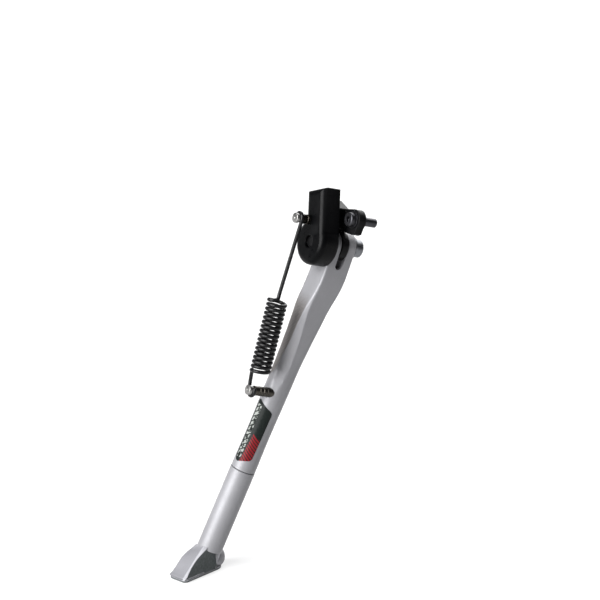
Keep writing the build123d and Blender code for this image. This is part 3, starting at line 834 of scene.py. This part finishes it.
# outlines (inboard of the toe, height) on the shoe's front side and on its rear side
SHOE_FRONT = ((0.0, SOLE_TOP), (0.0, 3.4), (3.4, 5.4), (8.0, 10.2), (12.9, 16.4), (19.0, 19.8), (25.2, 22.0),
              (30.0, 24.0), (39.0, 20.0), (41.5, SOLE_TOP))
SHOE_REAR = ((0.0, SOLE_TOP), (0.0, 4.0), (3.4, 7.2), (7.4, 10.4), (12.9, 15.3), (19.0, 20.8), (25.6, 26.9),
             (29.6, 30.0), (39.3, 19.4), (40.8, SOLE_TOP))
SHOE_SIDES = (  # rearward of the middle, lean per height, share of the rear outline, drop at the ridge
    (-9.9, 0.19, 0.0, 0.0), (-5.0, 0.14, 0.22, 0.0), (0.0, 0.06, 0.5, 0.0),
    (3.6, 0.04, 0.72, 0.0), (6.9, 0.04, 0.92, 0.1), (9.9, 0.04, 1.0, 2.4))
DROP_START, DROP_LONG = 3.2, 3      # heights over which that drop sets in
UNDER_SOLE = ((-60, -60), (60, -60), (60, 120), (-60, 120))     # what is cut away below the shoe
UNDER_DEEP = 0.05                   # metres
SCOOP_RUN = 20                      # the hollow's tool starts this far outboard of the toe


def build_shoe():
    sides = []
    for x, lean, share, drop in SHOE_SIDES:
        side = []
        for (y0, z0), (y1, z1) in zip(SHOE_FRONT, SHOE_REAR):
            z = z0 + (z1 - z0) * share
            side.append(at_sole(x + lean * (z - SOLE_TOP), y0 + (y1 - y0) * share,
                                z - drop * smooth((z - DROP_START) / DROP_LONG)))
        sides.append(side)
    points, faces = skin(sides)
    paint = MATERIALS["cast_aluminium"]
    shoe = piece("shoe_cast", points, faces, paint, "")
    to_floor = (PIVOT.z - FLOOR_Z) / -LEG.z
    tube_ends = (-TUBE_BELOW, to_floor / MM - SHOE_TOP)
    tube = lathe(PIVOT + LEG * to_floor, -LEG, [(end, TUBE_R) for end in tube_ends], sides=96)
    heel_turns = [math.pi * k / HEEL_STEPS for k in range(1, HEEL_STEPS)]
    heel = lathe(at_sole(*HEEL_AT), Vector((0, 0, 1)),
                 [(-HEEL_R * math.cos(t), HEEL_R * math.sin(t)) for t in heel_turns], sides=64)
    cut(shoe, (tube, heel), "UNION")
    below = prism([at_sole(x, y, 0) for x, y in UNDER_SOLE],
                  Vector((0, 0, -UNDER_DEEP)), Vector((0, 0, UNDER_DEEP + SOLE_TOP * MM)))
    scoop = lathe(at_sole(SCOOP_REAR, -SCOOP_RUN, SCOOP_UP), Vector((0, 1, 0)),
                  ((0, SCOOP_R), (SCOOP_RUN + SCOOP_END, SCOOP_R)), sides=160)
    cut(shoe, (below, scoop))
    dress(shoe, paint, "leg", ("shoe",), sharp=25)


# ------------------------------------------------------------------ spring and its posts
# places are (rearward, up) from the pivot, in the spring's plane
POST_UP, POST_LOW = (-11.5, 15.8), (4.5, -142.7)
COIL_TOP, COIL_LOW = (-2.0, -59.7), (7.2, -123.7)
WIRE_R, COIL_R, HOOK_R = 1.7, 7.7, 4.85     # the last two to the wire's middle
COIL_START, COIL_END = 60, 50       # degrees round the coil, from the front towards outboard
TURNS = 16 + (COIL_START - COIL_END) / 360
COIL_STEPS = 44                     # per turn
SPIN = -1.0                         # the coil turns so that its front side falls to the right
UPPER_HOOK, LOWER_HOOK = (205, -6), (180, 395)      # degrees round the posts, from the rear towards up
SHANK_LOW = (COIL_TOP[0] - 0.7, COIL_TOP[1] + 6.2)
SHANK_BEND, LOWER_BEND = 3.0, 2.6   # how far from a corner the wire begins to bend
CURL_STEPS, CURL_FROM = 40, 7       # the shank joins the curl at this step
CURL_TURN, CURL_RISE, CURL_EASE = 0.62 * math.pi, -3.6, 1.6     # how far round, how high, how soon level
LOWER_LEAD = 3.0                    # the wire runs on this far from the coil before it drops to the hook
LOWER_SHORT = 0.12                  # share of that drop left for the bend into the hook
LOWER_AHEAD = 0.2                   # radians past the coil's end, which give the wire's direction there

coil_axis = (at_pivot(*COIL_LOW, SPRING_OUT) - at_pivot(*COIL_TOP, SPRING_OUT))
COIL_LONG = coil_axis.length / MM
coil_axis.normalize()
coil_front = (-REAR - coil_axis * (-REAR).dot(coil_axis)).normalized()   # towards the vehicle's front
coil_out = coil_axis.cross(coil_front)
if coil_out.dot(OUT) < 0:
    coil_out = -coil_out
TOP = at_pivot(*COIL_TOP, SPRING_OUT)


def on_coil(angle, radius, down):
    """Point round the coil's axis: angle 0 towards the front, a quarter turn outboard."""
    round_it = coil_front * math.cos(angle) + coil_out * math.sin(angle)
    return TOP + (coil_axis * down + round_it * radius) * MM


def hook_path(post, start, end, steps=40):
    """Points of the wire's middle round a post, from one angle to another."""
    path = []
    for k in range(steps + 1):
        turn = math.radians(start + (end - start) * k / steps)
        rear, up = post[0] + HOOK_R * math.cos(turn), post[1] + HOOK_R * math.sin(turn)
        path.append(at_pivot(rear, up, SPRING_OUT))
    return path


BEND_SHARE = 0.45                   # most that a bend takes of a straight


def bend(path, size, steps=8):
    """Rounds each corner of a polyline with a small arc-like curve."""
    out = [path[0]]
    for a, b, c in zip(path, path[1:], path[2:]):
        cut_in = min(size * MM, (b - a).length * BEND_SHARE, (c - b).length * BEND_SHARE)
        p, q = b + (a - b).normalized() * cut_in, b + (c - b).normalized() * cut_in
        for k in range(steps + 1):
            t = k / steps
            out.append(p * (1 - t) ** 2 + b * 2 * t * (1 - t) + q * t ** 2)
    out.append(path[-1])
    return out


def build_spring():
    paint = MATERIALS["spring_wire"]
    first = math.radians(COIL_START)
    last = first + SPIN * 2 * math.pi * TURNS
    # upper hook, shank, then a curl from the coil's middle out to its rim
    curl = []
    for k in range(1, CURL_STEPS + 1):
        t = k / CURL_STEPS
        angle = first - SPIN * CURL_TURN * (1 - t)
        curl.append(on_coil(angle, COIL_R * t, CURL_RISE * (1 - t) ** CURL_EASE))
    curl = curl[CURL_FROM:]
    hook = hook_path(POST_UP, *UPPER_HOOK)
    shank = bend([hook[-1], at_pivot(*SHANK_LOW, SPRING_OUT)] + curl[:2], SHANK_BEND)
    points, faces = wire(hook[:-1] + shank[:-1] + curl[1:], WIRE_R)
    piece("spring_top_wire", points, faces, paint, "spring_top", ("spring_upper_hook",))
    # coil
    coil = []
    steps = int(TURNS * COIL_STEPS)
    for k in range(steps + 1):
        turn = TURNS * k / steps
        coil.append(on_coil(first + SPIN * 2 * math.pi * turn, COIL_R, turn / TURNS * COIL_LONG))
    points, faces = wire(coil, WIRE_R)
    made = piece("spring_turns", points, faces, paint, "spring_top", ("spring_coil",))
    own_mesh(made)
    # lower hook: from the rim straight down, under the post and up its rear side
    rim = on_coil(last, COIL_R, COIL_LONG)
    ahead = (on_coil(last + SPIN * LOWER_AHEAD, COIL_R, COIL_LONG) - rim).normalized()
    hook = hook_path(POST_LOW, *LOWER_HOOK)
    corner = rim + ahead * LOWER_LEAD * MM
    lead = bend([rim, corner, hook[0] + (corner - hook[0]) * LOWER_SHORT], LOWER_BEND)
    points, faces = wire(lead[:-1] + hook, WIRE_R)
    piece("spring_bottom_wire", points, faces, paint, "spring_bottom",
          ("spring_lower_hook",))


POSTS = (  # name, place, root's distance outboard of the clevis centre, body
    ("upper", POST_UP, 24.0, "bracket"), ("lower", POST_LOW, 14.0, "leg"))
POST_R, NECK_R, HEAD_R = 4.35, 3.1, 4.5
HEAD_LONG = 4.7                     # the head's face, outboard of the spring's plane
SHANK_SHORT = 1.75                  # the shank ends this far inboard of that plane
GROOVES, GROOVE_START, GROOVE_PITCH = 3, 4.6, 4.1   # from the shank's outboard end
GROOVE = ((-0.9, POST_R), (-0.55, 3.95), (0.55, 3.95), (0.9, POST_R))


def build_posts():
    paint = MATERIALS["turned_steel"]
    long = SPRING_OUT - SHANK_SHORT
    head = SPRING_OUT + HEAD_LONG
    middles = [long - GROOVE_START - GROOVE_PITCH * k for k in range(GROOVES)]
    grooves = sorted((middle + step, radius) for middle in middles for step, radius in GROOVE)
    neck = [(long - 0.35, POST_R), (long, 4.1), (long + 0.2, NECK_R), (SPRING_OUT + 1.6, NECK_R)]
    rim = [(SPRING_OUT + 1.75, 4.2), (SPRING_OUT + 2.05, HEAD_R), (head - 0.55, HEAD_R), (head - 0.15, 4.3)]
    face = [(head, 3.95), (head, 0.9), (head - 0.35, 0.5), (head - 0.5, 0.05)]
    for name, place, root, body in POSTS:
        profile = [(root, 0.1), (root, POST_R)] + grooves + neck + rim + face
        points, faces = lathe(at_pivot(*place, 0), OUT, profile)
        piece(f"post_{name}", points, faces, paint, body, (f"{name}_spring_post",), sharp=30)


# ------------------------------------------------------------------ decal
# its two long edges: millimetres along the leg, and across from the middle of the side it faces
DECAL_LEFT = ((153.2, -6.6), (154.5, -7.5), (207, -7.6), (210.5, -7.0), (212.6, -5.2), (213.2, -3.8))
DECAL_RIGHT = ((153.2, -5.2), (153.8, -4.0), (159.4, 7.2), (161.2, 8.5), (163.5, 8.7), (206.5, 8.2),
               (208.6, 7.2), (213.2, -3.2))
DECAL_START, DECAL_LONG = 153.2, 60.0
DECAL_ROWS, DECAL_COLS = 90, 28
DECAL_LIFT, DECAL_THICK = 0.12, 0.14
HALVINGS, SEARCH = 30, 1.5          # steps of the search for a point across, radians to either side
TINY = 1e-6


def edge_at(rows, along):
    """Position across of a decal edge at this distance along the leg."""
    for (a, x), (b, y) in zip(rows, rows[1:]):
        if along <= b:
            return x + (y - x) * (along - a) / (b - a)
    return rows[-1][1]


def arm_surface(angle, along):
    """Distance from the leg's middle to the arm's skin, angle from the rear towards outboard."""
    depth, width, corner = arm_section(along)
    c, s = abs(math.cos(angle)), abs(math.sin(angle))
    hx, hy = depth / 2 - corner, width / 2 - corner
    if c > TINY and depth / 2 * s / c <= hy:
        return depth / 2 / c
    if s > TINY and width / 2 * c / s <= hx:
        return width / 2 / s
    b = hx * c + hy * s
    return b + math.sqrt(max(b * b - hx * hx - hy * hy + corner * corner, 0))


def on_arm(across, along):
    """Point just off the arm's skin that lies this far across, seen from the decal's side."""
    a, b = DECAL_FACING - SEARCH, DECAL_FACING + SEARCH
    for _ in range(HALVINGS):
        mid = (a + b) / 2
        if arm_surface(mid, along) * math.sin(DECAL_FACING - mid) > across:
            a = mid
        else:
            b = mid
    r = arm_surface(a, along) + DECAL_LIFT
    return PIVOT + (LEG * along + REAR * math.cos(a) * r + SIDE * math.sin(a) * r) * MM


def build_decal():
    points, faces = [], []
    for i in range(DECAL_ROWS + 1):
        along = DECAL_START + DECAL_LONG * i / DECAL_ROWS
        low, high = edge_at(DECAL_LEFT, along), edge_at(DECAL_RIGHT, along)
        points += [on_arm(low + (high - low) * j / DECAL_COLS, along) for j in range(DECAL_COLS + 1)]
    for i in range(DECAL_ROWS):
        for j in range(DECAL_COLS):
            k = i * (DECAL_COLS + 1) + j
            faces.append((k, k + 1, k + DECAL_COLS + 2, k + DECAL_COLS + 1))
    made = piece("decal_skin", points, faces, MATERIALS["decal_film"], "")
    thick = made.modifiers.new("thick", "SOLIDIFY")
    thick.thickness, thick.offset = DECAL_THICK * MM, 0
    made.data = evaluated_mesh(made)
    made.modifiers.clear()
    dress(made, MATERIALS["decal_film"], "leg", ("decal",))


# ------------------------------------------------------------------ the scene
make_camera()
make_world()
make_floor()
for sun in SUNS:
    sun_light(*sun)

slots = {row["node"]: row["material_slot"] for row in frame["record"]["subparts"]}
for name, obj in frame["nodes"].items():
    obj.data.materials.clear()
    obj.data.materials.append(MATERIALS[slots[name]])

build_arm()
build_shoe()
build_spring()
build_posts()
build_decal()
